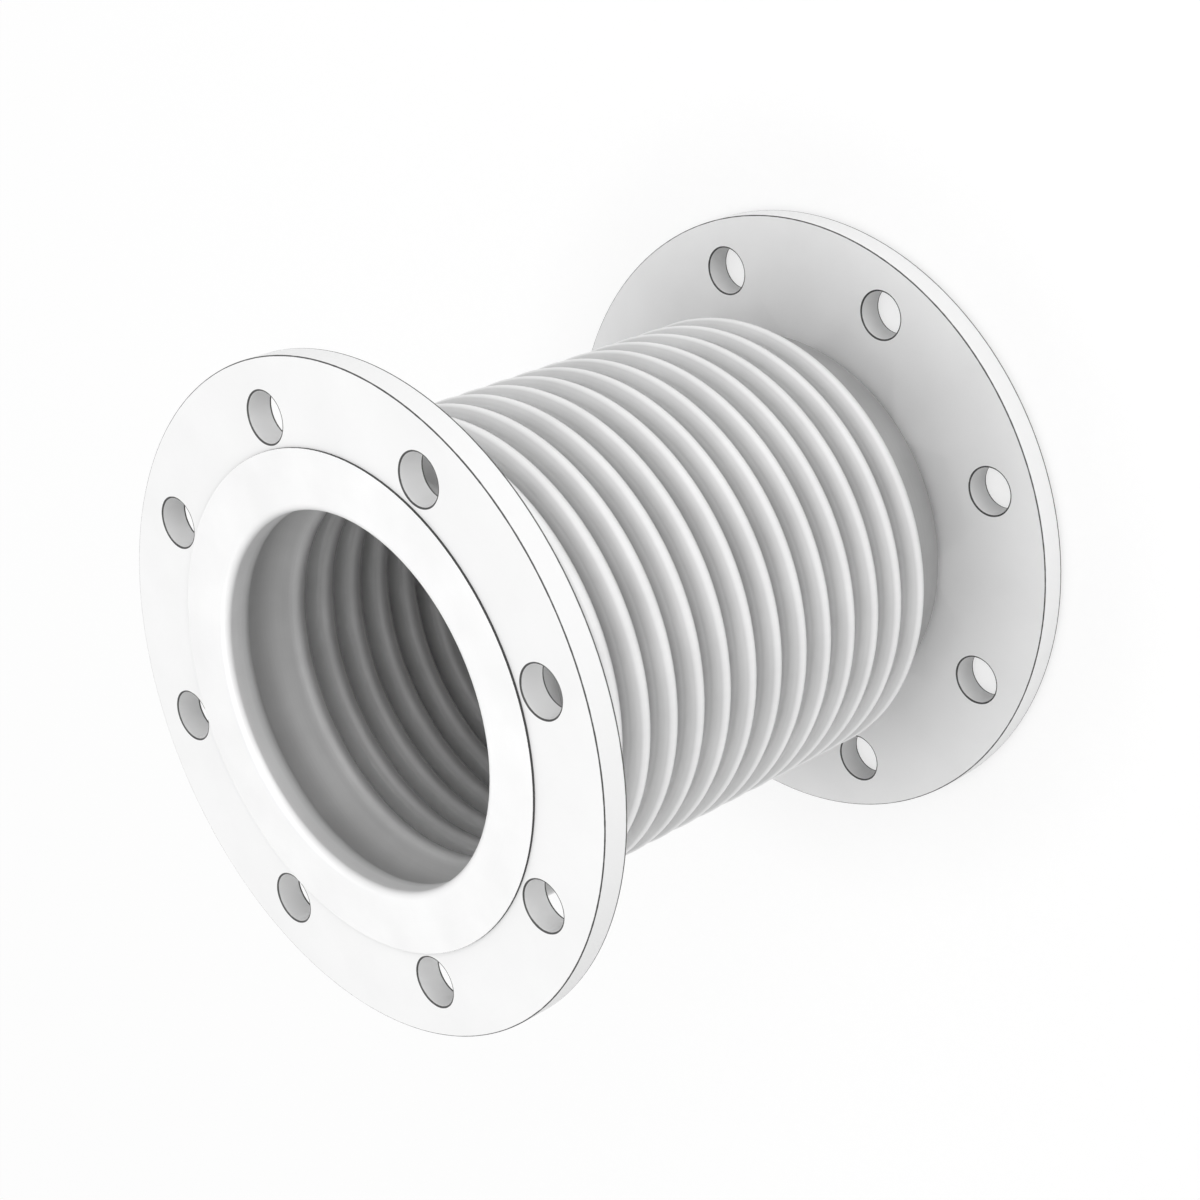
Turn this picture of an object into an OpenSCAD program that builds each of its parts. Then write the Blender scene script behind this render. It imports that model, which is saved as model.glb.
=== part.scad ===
// Exhaust bellows with two loose flanges, standing on its lower end.
// One formed steel wall makes the lower lap, the neck, the bead, all the convolutions
// and the same again at the top. Each flange ring turns on its neck, caught between
// the lap in front of it and the bead behind it.
// Millimetres. The axis is Z, and Z = 0 is the sealing face of the lower lap.

/* [Flanges] */
// Diameter of the circle through the bolt holes
bolt_circle_d = 200; // [190:1:220]
// Diameter of each bolt hole
bolt_hole_d = 18; // [11:0.5:22]
// Number of bolt holes in each flange
bolt_count = 8; // [4:4:12]
// Distance from the bolt circle out to the rim
rim_margin = 20; // [14:0.5:35]
// Thickness of each loose flange
flange_t = 10; // [8:0.5:14]
// Small chamfer that breaks the rim and the edges of the bolt holes
edge_break = 0.5; // [0.2:0.1:1]

/* [Convolutions] */
// Clear bore through the necks and the roots of the convolutions
bore_d = 135; // [112:0.5:140]
// Height of the convolutions, from the bore out over the crests
fold_height = 19.5; // [12.5:0.5:22]
// Thickness of the formed wall
wall_t = 1; // [0.6:0.1:1.2]
// Number of convolutions
convolution_count = 13; // [3:1:16]
// Distance from one crest to the next
pitch = 13; // [11:0.5:15]
// Outer radius of the bend over each crest
crest_bend_r = 3.9; // [3.2:0.1:4.2]

/* [Ends] */
// Distance from the edge of the lap on each flange's face out to the bolt holes
lap_margin = 1.75; // [0.5:0.25:5]
// Radius of the lap's bend into the bore, on the gas side
lap_bend_r = 3; // [2.5:0.1:3.5]
// Height over the neck of the bead that keeps each flange on it
bead_height = 8; // [6.5:0.5:10.5]
// Distance from the bend behind the flange to the first root, across the bead
bead_span = 25.5; // [22:0.5:30]
// Gap all round between the neck and the flange bore
neck_gap = 0.5; // [0.3:0.1:0.8]
// Axial play of a flange between its lap and its bead
flange_play = 0.3; // [0.2:0.1:1]

/* [Hidden] */
$fn = 96;
around = 180;
overshoot = 1;

bore_r = bore_d / 2;
crest_r = bore_r + fold_height;
bead_r = bore_r + wall_t + bead_height;
bolt_circle_r = bolt_circle_d / 2;
bolt_hole_r = bolt_hole_d / 2;
rim_r = bolt_circle_r + rim_margin;
lap_r = bolt_circle_r - bolt_hole_r - lap_margin;

// The roots take what the crests leave of the pitch, so the flanks stand square to the axis
root_bend_r = pitch / 2 + wall_t - crest_bend_r;
groove_r = root_bend_r - wall_t;
root_centre_r = bore_r + root_bend_r;
crest_centre_r = crest_r - crest_bend_r;

// The bead is one arc that meets the bends on both sides of it in a tangent
bead_half = bead_span / 2;
bead_rise = bead_r - root_centre_r;
bead_bend_r = (bead_rise^2 + bead_half^2 - groove_r^2) / (2 * (bead_rise + groove_r));
bead_centre_r = bead_r - bead_bend_r;
bead_angle = atan2(bead_half, root_centre_r - bead_centre_r);

// Heights above the lower sealing face
neck_bend_z = wall_t + flange_t + flange_play - groove_r;
bead_z = neck_bend_z + bead_half;
first_root_z = neck_bend_z + bead_span;
first_crest_z = first_root_z + pitch / 2;
total_h = 2 * first_root_z + convolution_count * pitch;

// Chamfers at both ends of the flange bore let it sit over the bends of the neck
flange_bore_r = bore_r + wall_t + neck_gap;
bore_chamfer = lap_bend_r - wall_t;
lower_flange_z = wall_t;
upper_flange_z = total_h - wall_t - flange_t;

function polar(r, angle) = [r * cos(angle), r * sin(angle)];

// Sector between two angles, with its point at the origin
module wedge(r, from, to) {
    steps = ceil((to - from) / 60);
    polygon(concat([[0, 0]], [for (i = [0:steps]) polar(2 * r, from + (to - from) * i / steps)]));
}

// The wall bent round a centre, seen in section
module bend(centre, outer_r, from, to) {
    translate(centre)
        intersection() {
            difference() {
                circle(r = outer_r);
                circle(r = outer_r - wall_t);
            }
            wedge(outer_r, from, to);
        }
}

// A flat flank between a root bend and a crest bend, its lower side at height z
module flank(z) {
    translate([root_centre_r, z])
        square([crest_centre_r - root_centre_r, wall_t]);
}

// Lap, neck and bead of one end, as far as the middle of the first root
module end_section() {
    translate([bore_r + lap_bend_r, 0])
        square([lap_r - bore_r - lap_bend_r, wall_t]);
    bend([bore_r + lap_bend_r, lap_bend_r], lap_bend_r, 180, 270);
    translate([bore_r, lap_bend_r])
        square([wall_t, neck_bend_z - lap_bend_r]);
    bend([root_centre_r, neck_bend_z], root_bend_r, 180 - bead_angle, 180);
    bend([bead_centre_r, bead_z], bead_bend_r, -bead_angle, bead_angle);
    bend([root_centre_r, first_root_z], root_bend_r, 180, 180 + bead_angle);
}

// The convolutions, from the middle of the first root to the middle of the last
module convolution_section() {
    bend([root_centre_r, first_root_z], root_bend_r, 90, 180);
    for (i = [0:convolution_count - 1]) {
        z = first_crest_z + i * pitch;
        flank(z - crest_bend_r);
        bend([crest_centre_r, z], crest_bend_r, -90, 90);
        flank(z + crest_bend_r - wall_t);
    }
    for (i = [1:convolution_count - 1])
        bend([root_centre_r, first_root_z + i * pitch], root_bend_r, 90, 270);
    bend([root_centre_r, total_h - first_root_z], root_bend_r, 180, 270);
}

module bellows() {
    color("gainsboro")
        rotate_extrude($fn = around) {
            end_section();
            convolution_section();
            translate([0, total_h])
                mirror([0, 1])
                    end_section();
        }
}

// Section of a flange ring, from its bore to its rim
module flange_section() {
    polygon([
        [flange_bore_r, bore_chamfer],
        [flange_bore_r + bore_chamfer, 0],
        [rim_r - edge_break, 0],
        [rim_r, edge_break],
        [rim_r, flange_t - edge_break],
        [rim_r - edge_break, flange_t],
        [flange_bore_r + bore_chamfer, flange_t],
        [flange_bore_r, flange_t - bore_chamfer],
    ]);
}

// Cutter for one bolt hole with both of its edges broken
module bolt_hole() {
    translate([0, 0, -overshoot])
        cylinder(h = flange_t + 2 * overshoot, r = bolt_hole_r, $fn = 48);
    for (end = [0, 1])
        translate([0, 0, end * flange_t])
            mirror([0, 0, end])
                translate([0, 0, -overshoot])
                    cylinder(h = overshoot + edge_break, r1 = bolt_hole_r + overshoot + edge_break,
                             r2 = bolt_hole_r, $fn = 48);
}

// The holes straddle the centre lines, as on pipe flanges
module flange() {
    difference() {
        rotate_extrude($fn = around)
            flange_section();
        for (i = [0:bolt_count - 1])
            rotate([0, 0, (i + 0.5) * 360 / bolt_count])
                translate([bolt_circle_r, 0, 0])
                    bolt_hole();
    }
}

module lower_flange() {
    color("whitesmoke")
        translate([0, 0, lower_flange_z])
            flange();
}

module upper_flange() {
    color("whitesmoke")
        translate([0, 0, upper_flange_z])
            flange();
}

bellows();
lower_flange();
upper_flange();
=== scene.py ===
import math

import bpy
from mathutils import Matrix, Vector


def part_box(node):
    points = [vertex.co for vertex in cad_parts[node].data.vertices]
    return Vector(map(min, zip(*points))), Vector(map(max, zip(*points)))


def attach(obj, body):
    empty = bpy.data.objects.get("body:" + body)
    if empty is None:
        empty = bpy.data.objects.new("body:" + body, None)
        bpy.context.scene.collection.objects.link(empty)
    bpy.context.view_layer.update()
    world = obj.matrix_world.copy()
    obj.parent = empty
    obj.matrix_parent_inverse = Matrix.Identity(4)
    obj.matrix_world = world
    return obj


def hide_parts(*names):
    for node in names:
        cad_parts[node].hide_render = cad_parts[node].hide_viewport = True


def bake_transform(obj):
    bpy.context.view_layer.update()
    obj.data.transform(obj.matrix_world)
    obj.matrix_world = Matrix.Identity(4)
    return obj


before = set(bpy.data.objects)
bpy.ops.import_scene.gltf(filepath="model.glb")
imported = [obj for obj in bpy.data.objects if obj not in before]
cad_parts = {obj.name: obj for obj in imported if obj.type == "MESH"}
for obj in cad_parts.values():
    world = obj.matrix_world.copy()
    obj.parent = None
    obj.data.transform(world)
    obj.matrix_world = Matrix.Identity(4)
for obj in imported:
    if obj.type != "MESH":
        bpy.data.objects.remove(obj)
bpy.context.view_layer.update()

# Bellows: one tube of 1 mm stainless sheet, formed into thirteen round folds. A bead and a
# plain neck follow the folds at each end, and the tube's edge is lapped flat over the flange.
# Forming leaves fine rings round it. Its colour carries painted light and shade: painted shade
# in the grooves, on the crest shoulders, on the beads, necks and laps outside, and on much of
# the inside; painted highlights on the upper flanks and crest tops.
MM = 0.001
wall_t = 1.0 * MM
bore_r = 67.5 * MM
crest_r = bore_r + 19.5 * MM
pitch = 13.0 * MM
fold_count = 13
crest_bend_r = 3.9 * MM
lap_bend_r = 3.0 * MM
bead_r = bore_r + wall_t + 8.0 * MM
bead_span = 25.5 * MM
lap_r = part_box("bellows")[1].x
bellows_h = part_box("bellows")[1].z

half_wall = wall_t / 2
root_bend_r = pitch / 2 + wall_t - crest_bend_r
root_centre_r = bore_r + root_bend_r
crest_centre_r = crest_r - crest_bend_r
first_root_z = (bellows_h - fold_count * pitch) / 2
neck_bend_z = first_root_z - bead_span
groove_r = root_bend_r - wall_t
bead_rise = bead_r - root_centre_r
bead_bend_r = (bead_rise ** 2 + (bead_span / 2) ** 2 - groove_r ** 2) / (2 * (bead_rise + groove_r))
bead_centre_r = bead_r - bead_bend_r
bead_angle = math.degrees(math.atan2(bead_span / 2, root_centre_r - bead_centre_r))


def bend(centre_r, centre_z, radius, start, end, steps):
    """Points along the middle of the wall, bent round a centre between two angles in degrees."""
    angles = [math.radians(start + (end - start) * i / steps) for i in range(steps + 1)]
    return [(centre_r + radius * math.cos(a), 0, centre_z + radius * math.sin(a)) for a in angles]


def line_object(name, points):
    """An object that holds one open line through the points."""
    mesh = bpy.data.meshes.new(name)
    mesh.from_pydata(points, [(i, i + 1) for i in range(len(points) - 1)], [])
    made = bpy.data.objects.new(name, mesh)
    bpy.context.scene.collection.objects.link(made)
    return made


root_mid_r = root_bend_r - half_wall
crest_mid_r = crest_bend_r - half_wall
fold_line = line_object("fold_line", (
    bend(root_centre_r, 0, root_mid_r, 180, 90, 5)
    + bend(crest_centre_r, pitch / 2, crest_mid_r, -90, 90, 10)
    + bend(root_centre_r, pitch, root_mid_r, 270, 180, 5)))
end_line = line_object("end_line", (
    [(lap_r, 0, half_wall)]
    + bend(bore_r + lap_bend_r, lap_bend_r, lap_bend_r - half_wall, 270, 180, 6)
    + bend(root_centre_r, neck_bend_z, root_mid_r, 180, 180 - bead_angle, 4)
    + bend(bead_centre_r, neck_bend_z + bead_span / 2, bead_bend_r - half_wall,
           -bead_angle, bead_angle, 16)[1:]
    + bend(root_centre_r, first_root_z, root_mid_r, 180 + bead_angle, 180, 4)[1:]))


def geometry_tree(name, inputs):
    """A new Geometry Nodes tree with a geometry input, the named inputs and a geometry output."""
    tree = bpy.data.node_groups.new(name, "GeometryNodeTree")
    tree.interface.new_socket("Geometry", in_out="INPUT", socket_type="NodeSocketGeometry")
    for label, kind in inputs.items():
        tree.interface.new_socket(label, in_out="INPUT", socket_type="NodeSocket" + kind)
    tree.interface.new_socket("Geometry", in_out="OUTPUT", socket_type="NodeSocketGeometry")
    return tree, tree.nodes.new("NodeGroupInput").outputs, tree.nodes.new("NodeGroupOutput").inputs


def put(tree, kind, sockets, **settings):
    """The outputs of a new node of that kind, with its sockets linked or set to values."""
    node = tree.nodes.new(kind)
    for name, value in settings.items():
        setattr(node, name, value)
    for name, value in sockets.items():
        for source in value if isinstance(value, list) else [value]:
            if isinstance(source, bpy.types.NodeSocket):
                tree.links.new(source, node.inputs[name])
            else:
                node.inputs[name].default_value = source
    return node.outputs


def calc(tree, operation, first, second=0.0):
    """The result of one sum on two values or sockets."""
    return put(tree, "ShaderNodeMath", {0: first, 1: second}, operation=operation)["Value"]


def set_inputs(modifier, values):
    """Gives a Geometry Nodes modifier its named inputs."""
    for item in modifier.node_group.interface.items_tree:
        if item.in_out == "INPUT" and item.name in values:
            modifier[item.identifier] = values[item.name]


def plain_mesh(source, name):
    """The source with its modifiers applied, as a new object. The source is removed."""
    bpy.context.view_layer.update()
    evaluated = source.evaluated_get(bpy.context.evaluated_depsgraph_get())
    mesh = bpy.data.meshes.new_from_object(evaluated)
    mesh.name = name
    made = bpy.data.objects.new(name, mesh)
    bpy.context.scene.collection.objects.link(made)
    bpy.data.objects.remove(source)
    return made


tree, given, result = geometry_tree("bellows_wall", {
    "End Line": "Object", "Folds": "Int", "Pitch": "Float", "First Root": "Float",
    "Height": "Float", "Steps Around": "Int", "Steel": "Material"})
start = put(tree, "ShaderNodeCombineXYZ", {"Z": given["First Root"]})
step = put(tree, "ShaderNodeCombineXYZ", {"Z": given["Pitch"]})
places = put(tree, "GeometryNodeMeshLine", {
    "Count": given["Folds"], "Start Location": start["Vector"], "Offset": step["Vector"]})
folds = put(tree, "GeometryNodeInstanceOnPoints", {
    "Points": places["Mesh"], "Instance": given["Geometry"]})
lower_end = put(tree, "GeometryNodeObjectInfo", {"Object": given["End Line"]})
top = put(tree, "ShaderNodeCombineXYZ", {"Z": given["Height"]})
upper_end = put(tree, "GeometryNodeTransform", {
    "Geometry": lower_end["Geometry"], "Translation": top["Vector"], "Scale": (1, 1, -1)})
lines = put(tree, "GeometryNodeJoinGeometry", {
    "Geometry": [folds["Instances"], lower_end["Geometry"], upper_end["Geometry"]]})
lines = put(tree, "GeometryNodeRealizeInstances", {"Geometry": lines["Geometry"]})
section = put(tree, "GeometryNodeMergeByDistance", {
    "Geometry": lines["Geometry"], "Distance": 0.01 * MM})
section = put(tree, "GeometryNodeMeshToCurve", {"Mesh": section["Geometry"]})
section = put(tree, "GeometryNodeTransform", {
    "Geometry": section["Curve"], "Translation": (-bore_r, 0, 0), "Rotation": (math.pi / 2, 0, 0)})
ring = put(tree, "GeometryNodeCurvePrimitiveCircle", {
    "Resolution": given["Steps Around"], "Radius": bore_r})
wall = put(tree, "GeometryNodeCurveToMesh", {
    "Curve": ring["Curve"], "Profile Curve": section["Geometry"]})
wall = put(tree, "GeometryNodeSetShadeSmooth", {"Geometry": wall["Mesh"]})
wall = put(tree, "GeometryNodeRealizeInstances", {"Geometry": wall["Geometry"]})
wall = put(tree, "GeometryNodeSetMaterial", {"Geometry": wall["Geometry"], "Material": given["Steel"]})
tree.links.new(wall["Geometry"], result["Geometry"])


def shader_tree(name):
    """A new material, its node tree and its Principled shader's inputs."""
    material = bpy.data.materials.new(name)
    material.use_nodes = True
    return material, material.node_tree, material.node_tree.nodes["Principled BSDF"].inputs


def around_axis(tree, place):
    """How far a place lies from the axis, and how high."""
    xyz = put(tree, "ShaderNodeSeparateXYZ", {"Vector": place})
    flat = put(tree, "ShaderNodeCombineXYZ", {"X": xyz["X"], "Y": xyz["Y"]})
    reach = put(tree, "ShaderNodeVectorMath", {"Vector": flat["Vector"]}, operation="LENGTH")
    return reach["Value"], xyz["Z"]


def fit_range(tree, value, low, high, to_low, to_high):
    """The value, stretched from one range to another."""
    return put(tree, "ShaderNodeMapRange", {
        "Value": value, "From Min": low, "From Max": high, "To Min": to_low, "To Max": to_high})["Result"]


# The finish follows the wall as it was formed, so it keeps its place when the bellows moves
steel, tree, surface = shader_tree("satin_stainless")
place = put(tree, "ShaderNodeAttribute", {}, attribute_name="formed_place")["Vector"]
reach, height = around_axis(tree, place)
rings_at = put(tree, "ShaderNodeCombineXYZ", {"X": reach, "Y": height})
rings_at = put(tree, "ShaderNodeVectorMath", {
    "Vector": rings_at["Vector"], "Scale": 1 / MM}, operation="SCALE")
sway = put(tree, "ShaderNodeVectorMath", {"Vector": place, "Scale": 12.0}, operation="SCALE")
rings_at = put(tree, "ShaderNodeVectorMath", {0: rings_at["Vector"], 1: sway["Vector"]}, operation="ADD")
rings = put(tree, "ShaderNodeTexNoise", {
    "Vector": rings_at["Vector"], "Scale": 2.2, "Detail": 4.0, "Roughness": 0.6})
patches = put(tree, "ShaderNodeTexNoise", {"Vector": place, "Scale": 38.0, "Detail": 3.0})
patchy = fit_range(tree, patches["Fac"], 0.3, 0.7, 0.0, 1.0)
# The steel's lit tone, and a darker tone that is painted shade; both vary at random in patches
lit_tone = put(tree, "ShaderNodeMix", {
    "Factor": patchy, "A": (0.84, 0.84, 0.84, 1), "B": (0.89, 0.89, 0.89, 1)}, data_type="RGBA")
shaded_tone = put(tree, "ShaderNodeMix", {
    "Factor": patchy, "A": (0.53, 0.53, 0.53, 1), "B": (0.59, 0.59, 0.59, 1)}, data_type="RGBA")

# How much painted light falls on the wall along its section: 0 gives the painted shade, 1 the lit tone, a
# little past both, past 1 for painted highlights
from_end = calc(tree, "MINIMUM", height, calc(tree, "SUBTRACT", bellows_h, height))
in_folds = fit_range(tree, from_end, first_root_z, first_root_z + root_bend_r, 0.0, 1.0)
# Outside in the folds: painted shade deep in the grooves and on the crest shoulders, painted highlights on
# the upper flanks and crest tops
on_flank = fit_range(tree, reach, crest_centre_r - 5 * MM, crest_centre_r - 1 * MM, 0.35, 1.2)
on_shoulder = fit_range(tree, reach, crest_centre_r - 1 * MM, crest_r - 2 * MM, 0.0, -0.85)
on_crest = fit_range(tree, reach, crest_r - 0.7 * MM, crest_r, 0.0, 0.75)
on_fold = calc(tree, "ADD", on_flank, calc(tree, "ADD", on_shoulder, on_crest))
# Outside the folds, the beads, necks and laps get painted shade, darker still than the shaded tone
outside = put(tree, "ShaderNodeMix", {0: in_folds, 2: -0.45, 3: on_fold})
# Inside: lit tone near the ends, painted shade on the beads, necks and inner root crowns, lighter again
# deeper in the inner grooves
on_lap = fit_range(tree, from_end, neck_bend_z - 2 * MM, neck_bend_z + 2 * MM, 1.0, 0.0)
off_root = fit_range(tree, reach, bore_r + 1.5 * MM, root_centre_r, -0.3, 0.9)
inside = calc(tree, "ADD", on_lap, calc(tree, "MULTIPLY", in_folds, off_root))
gas_side = put(tree, "ShaderNodeAttribute", {}, attribute_name="gas_side")
lit_share = put(tree, "ShaderNodeMix", {0: gas_side["Fac"], 2: outside[0], 3: inside})
tone = put(tree, "ShaderNodeMix", {
    "Factor": lit_share[0], "A": shaded_tone[2], "B": lit_tone[2]}, data_type="RGBA", clamp_factor=False)
# The cut edges of the laps are painted nearly black: dark cut steel, and painted shade on that narrow wall
cut_edge = put(tree, "ShaderNodeAttribute", {}, attribute_name="cut_edge")
tone = put(tree, "ShaderNodeMix", {
    "Factor": cut_edge["Fac"], "A": tone[2], "B": (0.07, 0.07, 0.07, 1)}, data_type="RGBA")
tree.links.new(tone[2], surface["Base Color"])
grain = fit_range(tree, rings["Fac"], 0.3, 0.7, -0.05, 0.05)
roughness = calc(tree, "ADD", fit_range(tree, lit_share[0], 0.0, 1.0, 0.70, 0.60), grain)
tree.links.new(roughness, surface["Roughness"])
surface["Metallic"].default_value = 0.5
bump = put(tree, "ShaderNodeBump", {"Height": rings["Fac"], "Strength": 0.25, "Distance": 0.03 * MM})
tree.links.new(bump["Normal"], surface["Normal"])

modifier = fold_line.modifiers.new("wall", "NODES")
modifier.node_group = bpy.data.node_groups["bellows_wall"]
set_inputs(modifier, {
    "End Line": end_line, "Folds": fold_count, "Pitch": pitch, "First Root": first_root_z,
    "Height": bellows_h, "Steps Around": 136, "Steel": steel})
for slot in range(3):
    fold_line.data.materials.append(steel)
thickness = fold_line.modifiers.new("thickness", "SOLIDIFY")
thickness.thickness = wall_t
thickness.offset = 0
thickness.use_even_offset = True
thickness.material_offset = 1
thickness.material_offset_rim = 2
edge = fold_line.modifiers.new("edge", "BEVEL")
edge.width = 0.15 * MM
edge.segments = 2
edge.limit_method = "ANGLE"
edge.angle_limit = math.radians(60)
smooth = fold_line.modifiers.new("smooth", "WEIGHTED_NORMAL")
smooth.weight = 90
bellows = plain_mesh(fold_line, "bellows_wall")
bpy.data.objects.remove(end_line)
# The thickness leaves the gas side in the second slot, and the cut edges of the laps in the third
for label, slot in (("gas_side", 1), ("cut_edge", 2)):
    marked = bellows.data.attributes.new(label, "FLOAT", "FACE")
    for polygon, value in zip(bellows.data.polygons, marked.data):
        value.value = float(polygon.material_index == slot)
for polygon in bellows.data.polygons:
    polygon.material_index = 0
formed_place = bellows.data.attributes.new("formed_place", "FLOAT_VECTOR", "POINT")
for vertex, value in zip(bellows.data.vertices, formed_place.data):
    value.vector = vertex.co
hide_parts("bellows")
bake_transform(bellows)


# Loose flanges: two flat steel rings, turned and drilled for eight bolts that straddle the
# centre lines, with every edge broken. They carry a matt off-white coating over the turning
# marks, worn through to dark steel along the rims and holes, most of all on the lower edges.
# The rims carry a painted highlight, and the bolt-hole walls painted shade.
bolt_circle_r = 100.0 * MM
bolt_hole_r = 9.0 * MM
bolt_count = 8
neck_gap = 0.5 * MM
edge_break = 0.5 * MM
flange_bore_r = bore_r + wall_t + neck_gap
bore_chamfer = lap_bend_r - wall_t
rim_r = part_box("lower_flange")[1].x
flange_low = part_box("lower_flange")[0].z
flange_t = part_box("lower_flange")[1].z - flange_low

tree, given, result = geometry_tree("flange_ring", {
    "Rim Radius": "Float", "Bore Radius": "Float", "Bolt Circle Radius": "Float",
    "Bolt Hole Radius": "Float", "Bolt Holes": "Int", "Foot": "Float", "Thickness": "Float",
    "Bore Chamfer": "Float", "Coating": "Material"})
rim = put(tree, "GeometryNodeCurvePrimitiveCircle", {"Resolution": 192, "Radius": given["Rim Radius"]})
bore_mouth_r = calc(tree, "ADD", given["Bore Radius"], given["Bore Chamfer"])
bore = put(tree, "GeometryNodeCurvePrimitiveCircle", {"Resolution": 144, "Radius": bore_mouth_r})
hole = put(tree, "GeometryNodeCurvePrimitiveCircle", {
    "Resolution": 48, "Radius": given["Bolt Hole Radius"]})
centres = put(tree, "GeometryNodeMeshCircle", {
    "Vertices": given["Bolt Holes"], "Radius": given["Bolt Circle Radius"]})
turn = put(tree, "ShaderNodeCombineXYZ", {"Z": calc(tree, "DIVIDE", math.pi, given["Bolt Holes"])})
centres = put(tree, "GeometryNodeTransform", {"Geometry": centres["Mesh"], "Rotation": turn["Vector"]})
holes = put(tree, "GeometryNodeInstanceOnPoints", {
    "Points": centres["Geometry"], "Instance": hole["Curve"]})
outline = put(tree, "GeometryNodeJoinGeometry", {
    "Geometry": [rim["Curve"], bore["Curve"], holes["Instances"]]})
outline = put(tree, "GeometryNodeRealizeInstances", {"Geometry": outline["Geometry"]})
face = put(tree, "GeometryNodeFillCurve", {"Curve": outline["Geometry"]}, mode="TRIANGLES")
straight = calc(tree, "SUBTRACT", given["Thickness"], calc(tree, "MULTIPLY", given["Bore Chamfer"], 2.0))
raised = {"Mesh": face["Mesh"], "Top": True}
for lift in (given["Bore Chamfer"], straight, given["Bore Chamfer"]):
    up = put(tree, "ShaderNodeCombineXYZ", {"Z": lift})
    raised = put(tree, "GeometryNodeExtrudeMesh", {
        "Mesh": raised["Mesh"], "Selection": raised["Top"], "Offset": up["Vector"],
        "Individual": False}, mode="FACES")
under = put(tree, "GeometryNodeFlipFaces", {"Mesh": face["Mesh"]})
ring = put(tree, "GeometryNodeJoinGeometry", {"Geometry": [raised["Mesh"], under["Mesh"]]})
ring = put(tree, "GeometryNodeMergeByDistance", {"Geometry": ring["Geometry"], "Distance": 0.01 * MM})

# The middle of the bore is pulled in, which leaves a chamfer at each of its mouths
position = put(tree, "GeometryNodeInputPosition", {})
corner = put(tree, "ShaderNodeSeparateXYZ", {"Vector": position["Position"]})
flat = put(tree, "ShaderNodeCombineXYZ", {"X": corner["X"], "Y": corner["Y"]})
outward = put(tree, "ShaderNodeVectorMath", {0: flat["Vector"]}, operation="LENGTH")
half_thick = calc(tree, "DIVIDE", given["Thickness"], 2.0)
off_middle = calc(tree, "ABSOLUTE", calc(tree, "SUBTRACT", corner["Z"], half_thick))
in_bore = calc(tree, "LESS_THAN", outward["Value"], calc(tree, "ADD", bore_mouth_r, 1 * MM))
in_wall = calc(tree, "LESS_THAN", off_middle, calc(tree, "DIVIDE", given["Thickness"], 2.05))
inward = put(tree, "ShaderNodeVectorMath", {
    0: flat["Vector"], "Scale": calc(tree, "DIVIDE", given["Bore Radius"], bore_mouth_r)}, operation="SCALE")
pulled_in = put(tree, "ShaderNodeSeparateXYZ", {"Vector": inward["Vector"]})
pulled_in = put(tree, "ShaderNodeCombineXYZ", {"X": pulled_in["X"], "Y": pulled_in["Y"], "Z": corner["Z"]})
ring = put(tree, "GeometryNodeSetPosition", {
    "Geometry": ring["Geometry"], "Selection": calc(tree, "MULTIPLY", in_bore, in_wall),
    "Position": pulled_in["Vector"]})
foot = put(tree, "ShaderNodeCombineXYZ", {"Z": given["Foot"]})
ring = put(tree, "GeometryNodeTransform", {"Geometry": ring["Geometry"], "Translation": foot["Vector"]})
ring = put(tree, "GeometryNodeSetShadeSmooth", {"Geometry": ring["Geometry"]})
ring = put(tree, "GeometryNodeRealizeInstances", {"Geometry": ring["Geometry"]})
ring = put(tree, "GeometryNodeSetMaterial", {"Geometry": ring["Geometry"], "Material": given["Coating"]})
tree.links.new(ring["Geometry"], result["Geometry"])

coating, tree, surface = shader_tree("off_white_coating")
place = put(tree, "ShaderNodeTexCoord", {})["Object"]
reach, height = around_axis(tree, place)
marks_at = put(tree, "ShaderNodeCombineXYZ", {"X": reach, "Y": height})
marks_at = put(tree, "ShaderNodeVectorMath", {
    "Vector": marks_at["Vector"], "Scale": 1 / MM}, operation="SCALE")
marks = put(tree, "ShaderNodeTexNoise", {"Vector": marks_at["Vector"], "Scale": 1.6, "Detail": 3.0})
peel = put(tree, "ShaderNodeTexNoise", {"Vector": place, "Scale": 900.0, "Detail": 2.0})
patches = put(tree, "ShaderNodeTexNoise", {"Vector": place, "Scale": 30.0, "Detail": 4.0})
tone = put(tree, "ShaderNodeMix", {
    "Factor": fit_range(tree, patches["Fac"], 0.3, 0.7, 0.0, 1.0),
    "A": (0.88, 0.88, 0.88, 1), "B": (0.92, 0.92, 0.92, 1)}, data_type="RGBA")

# How far a place lies from the nearest bolt hole and from the nearest edge
xyz = put(tree, "ShaderNodeSeparateXYZ", {"Vector": place})
hole_step = 2 * math.pi / bolt_count
angle = calc(tree, "FLOORED_MODULO", calc(tree, "ARCTAN2", xyz["Y"], xyz["X"]), hole_step)
angle = calc(tree, "SUBTRACT", angle, hole_step / 2)
beside_hole = put(tree, "ShaderNodeCombineXYZ", {
    "X": calc(tree, "MULTIPLY", reach, calc(tree, "COSINE", angle)),
    "Y": calc(tree, "MULTIPLY", reach, calc(tree, "SINE", angle))})
from_hole = put(tree, "ShaderNodeVectorMath", {
    0: beside_hole["Vector"], 1: (bolt_circle_r, 0, 0)}, operation="DISTANCE")
from_end = calc(tree, "MINIMUM", height, calc(tree, "SUBTRACT", bellows_h, height))
from_face = calc(tree, "MINIMUM", calc(tree, "SUBTRACT", from_end, flange_low),
                 calc(tree, "SUBTRACT", flange_low + flange_t, from_end))
to_hole_edge = put(tree, "ShaderNodeCombineXYZ", {
    "X": calc(tree, "SUBTRACT", from_hole["Value"], bolt_hole_r + edge_break / 2), "Y": from_face})
to_rim_edge = put(tree, "ShaderNodeCombineXYZ", {"X": calc(tree, "SUBTRACT", rim_r, reach), "Y": from_face})
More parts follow.
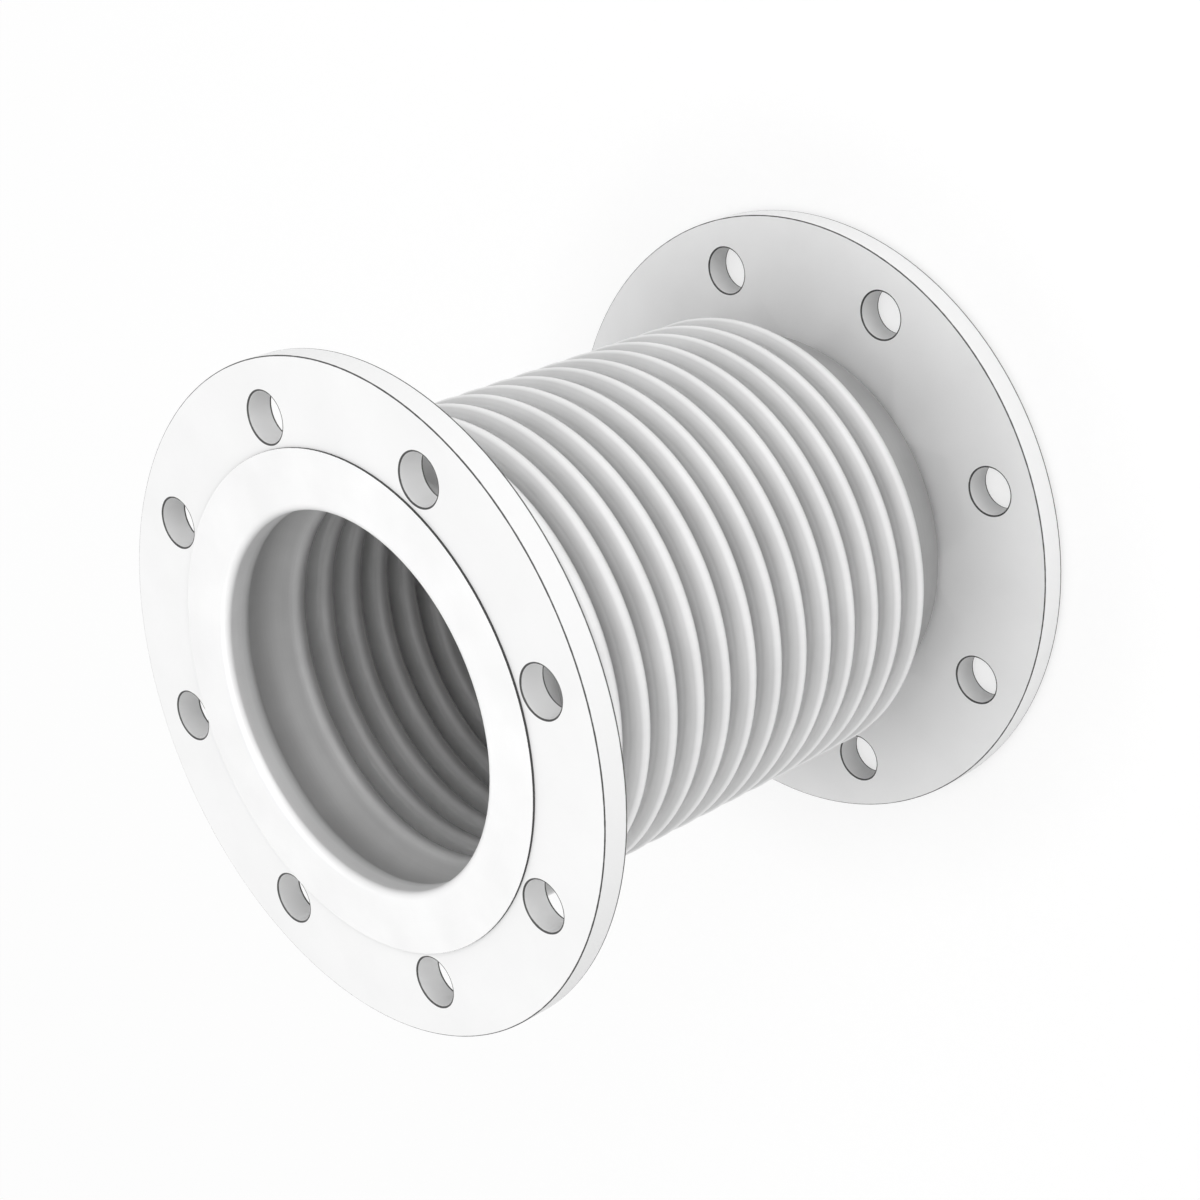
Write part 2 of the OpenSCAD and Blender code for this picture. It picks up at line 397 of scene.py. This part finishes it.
to_edge = calc(tree, "MINIMUM",
               put(tree, "ShaderNodeVectorMath", {0: to_hole_edge["Vector"]}, operation="LENGTH")["Value"],
               put(tree, "ShaderNodeVectorMath", {0: to_rim_edge["Vector"]}, operation="LENGTH")["Value"])

# Worn steel follows the edges on a ragged line, and reaches higher on the lower ones
chips = put(tree, "ShaderNodeTexNoise", {
    "Vector": place, "Scale": 260.0, "Detail": 5.0, "Roughness": 0.65})
raggedness = fit_range(tree, chips["Fac"], 0.3, 0.7, -0.05 * MM, 0.05 * MM)
ragged = calc(tree, "ADD", to_edge, raggedness)
worn = fit_range(tree, ragged, 0.65 * edge_break, 0.95 * edge_break, 1.0, 0.0)
on_rim = fit_range(tree, reach, rim_r - edge_break, rim_r, 0.0, 1.0)
at_bolt_hole = fit_range(tree, from_hole["Value"], bolt_hole_r, bolt_hole_r + edge_break, 1.0, 0.0)
upper_flange_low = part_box("upper_flange")[0].z
above = calc(tree, "MINIMUM", calc(tree, "ABSOLUTE", calc(tree, "SUBTRACT", height, flange_low)),
             calc(tree, "ABSOLUTE", calc(tree, "SUBTRACT", height, upper_flange_low)))
above = calc(tree, "ADD", above, raggedness)
scuffed = fit_range(tree, above, 1.4 * edge_break, 1.8 * edge_break, 1.0, 0.0)
scuffed = calc(tree, "MULTIPLY", scuffed, calc(tree, "MAXIMUM", on_rim, at_bolt_hole))
worn = calc(tree, "MAXIMUM", worn, scuffed)
# The rims get a lighter tone that is a painted highlight, the bolt-hole walls a darker one that is painted
# shade, and the worn edges dark steel
for share, colour in (
        (on_rim, (0.95, 0.95, 0.95, 1)), (at_bolt_hole, (0.78, 0.78, 0.78, 1)), (worn, (0.07, 0.07, 0.07, 1))):
    tone = put(tree, "ShaderNodeMix", {"Factor": share, "A": tone[2], "B": colour}, data_type="RGBA")
tree.links.new(tone[2], surface["Base Color"])
tree.links.new(fit_range(tree, worn, 0.0, 1.0, 0.0, 0.5), surface["Metallic"])
tree.links.new(fit_range(tree, patches["Fac"], 0.3, 0.7, 0.50, 0.60), surface["Roughness"])
relief = calc(tree, "ADD", calc(tree, "MULTIPLY", marks["Fac"], 0.6), peel["Fac"])
bump = put(tree, "ShaderNodeBump", {"Height": relief, "Strength": 0.2, "Distance": 0.03 * MM})
tree.links.new(bump["Normal"], surface["Normal"])

for node_name in ("lower_flange", "upper_flange"):
    blank = bpy.data.objects.new("blank", bpy.data.meshes.new("blank"))
    bpy.context.scene.collection.objects.link(blank)
    modifier = blank.modifiers.new("ring", "NODES")
    modifier.node_group = bpy.data.node_groups["flange_ring"]
    set_inputs(modifier, {
        "Rim Radius": rim_r, "Bore Radius": flange_bore_r, "Bolt Circle Radius": bolt_circle_r,
        "Bolt Hole Radius": bolt_hole_r, "Bolt Holes": bolt_count, "Foot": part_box(node_name)[0].z,
        "Thickness": flange_t, "Bore Chamfer": bore_chamfer, "Coating": coating})
    edges = blank.modifiers.new("edges", "BEVEL")
    edges.width = edge_break
    edges.segments = 3
    edges.limit_method = "ANGLE"
    edges.angle_limit = math.radians(60)
    smooth = blank.modifiers.new("smooth", "WEIGHTED_NORMAL")
    smooth.weight = 90
    flange = plain_mesh(blank, node_name + "_ring")
    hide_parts(node_name)
    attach(flange, node_name)


# Studio: a pale floor, even light from all sides with a soft lamp overhead and one beside it,
# and the camera at the photograph's angle. The part stands on its end, so the camera is rolled.
floor_mesh = bpy.data.meshes.new("floor")
floor_mesh.from_pydata([(-4, -4, 0), (4, -4, 0), (4, 4, 0), (-4, 4, 0)], [], [(0, 1, 2, 3)])
floor = bpy.data.objects.new("floor", floor_mesh)
bpy.context.scene.collection.objects.link(floor)

paper, tree, surface = shader_tree("white_paper")
surface["Base Color"].default_value = (0.88, 0.88, 0.88, 1)
surface["Roughness"].default_value = 0.9
surface["Specular IOR Level"].default_value = 0.0
rays = put(tree, "ShaderNodeLightPath", {})
seen = calc(tree, "MAXIMUM", rays["Is Camera Ray"], rays["Is Glossy Ray"])
seen = calc(tree, "MAXIMUM", seen, rays["Is Transmission Ray"])
shade = put(tree, "ShaderNodeBsdfDiffuse", {"Color": (0.33, 0.33, 0.33, 1)})
glow = put(tree, "ShaderNodeEmission", {"Color": (0.68, 0.68, 0.68, 1), "Strength": 1.0})
white = put(tree, "ShaderNodeAddShader", {0: shade["BSDF"], 1: glow["Emission"]})
reach, height = around_axis(tree, put(tree, "ShaderNodeTexCoord", {})["Object"])
distant = put(tree, "ShaderNodeEmission", {"Color": (1, 1, 1, 1), "Strength": 1.0})
white = put(tree, "ShaderNodeMixShader", {
    0: fit_range(tree, reach, 0.5, 1.8, 0.0, 1.0), 1: white["Shader"], 2: distant["Emission"]})
floor_look = put(tree, "ShaderNodeMixShader", {
    0: seen, 1: tree.nodes["Principled BSDF"].outputs["BSDF"], 2: white["Shader"]})
tree.links.new(floor_look["Shader"], tree.nodes["Material Output"].inputs["Surface"])
floor_mesh.materials.append(paper)

world = bpy.data.worlds.new("even_light")
world.use_nodes = True
bpy.context.scene.world = world
tree = world.node_tree
rays = put(tree, "ShaderNodeLightPath", {})
seen = calc(tree, "MAXIMUM", rays["Is Camera Ray"], rays["Is Glossy Ray"])
level = fit_range(tree, seen, 0.0, 1.0, 0.66, 1.0)
tree.links.new(level, tree.nodes["Background"].inputs["Strength"])
tree.nodes["Background"].inputs["Color"].default_value = (1, 1, 1, 1)

middle = Vector((0, 0, bellows_h / 2))
for name, spot, size, watts in (
        ("overhead_lamp", Vector((0, 0, 2.5)), 0.8, 16.0),
        ("side_lamp", Vector((1.05, 1.20, 0.62)), 1.8, 8.8)):
    lamp_data = bpy.data.lights.new(name, "AREA")
    lamp_data.shape = "DISK"
    lamp_data.size = size
    lamp_data.energy = watts
    lamp = bpy.data.objects.new(name, lamp_data)
    bpy.context.scene.collection.objects.link(lamp)
    aim = (middle - spot).to_track_quat("-Z", "Y").to_matrix().to_4x4()
    lamp.matrix_world = Matrix.Translation(spot) @ aim

camera_data = bpy.data.cameras.new("camera")
camera_data.lens = 75
camera_data.sensor_width = 36
camera = bpy.data.objects.new("camera", camera_data)
bpy.context.scene.collection.objects.link(camera)
bpy.context.scene.camera = camera
forward = Vector((-0.6409, -0.4226, -0.6407)).normalized()
right = Vector((1, 0, -1)).normalized()
up = right.cross(forward)
turn = Matrix((right, up, -forward)).transposed().to_4x4()
camera.matrix_world = Matrix.Translation((0.5854, 0.3859, 0.70385)) @ turn

bpy.context.scene.view_settings.view_transform = "Standard"
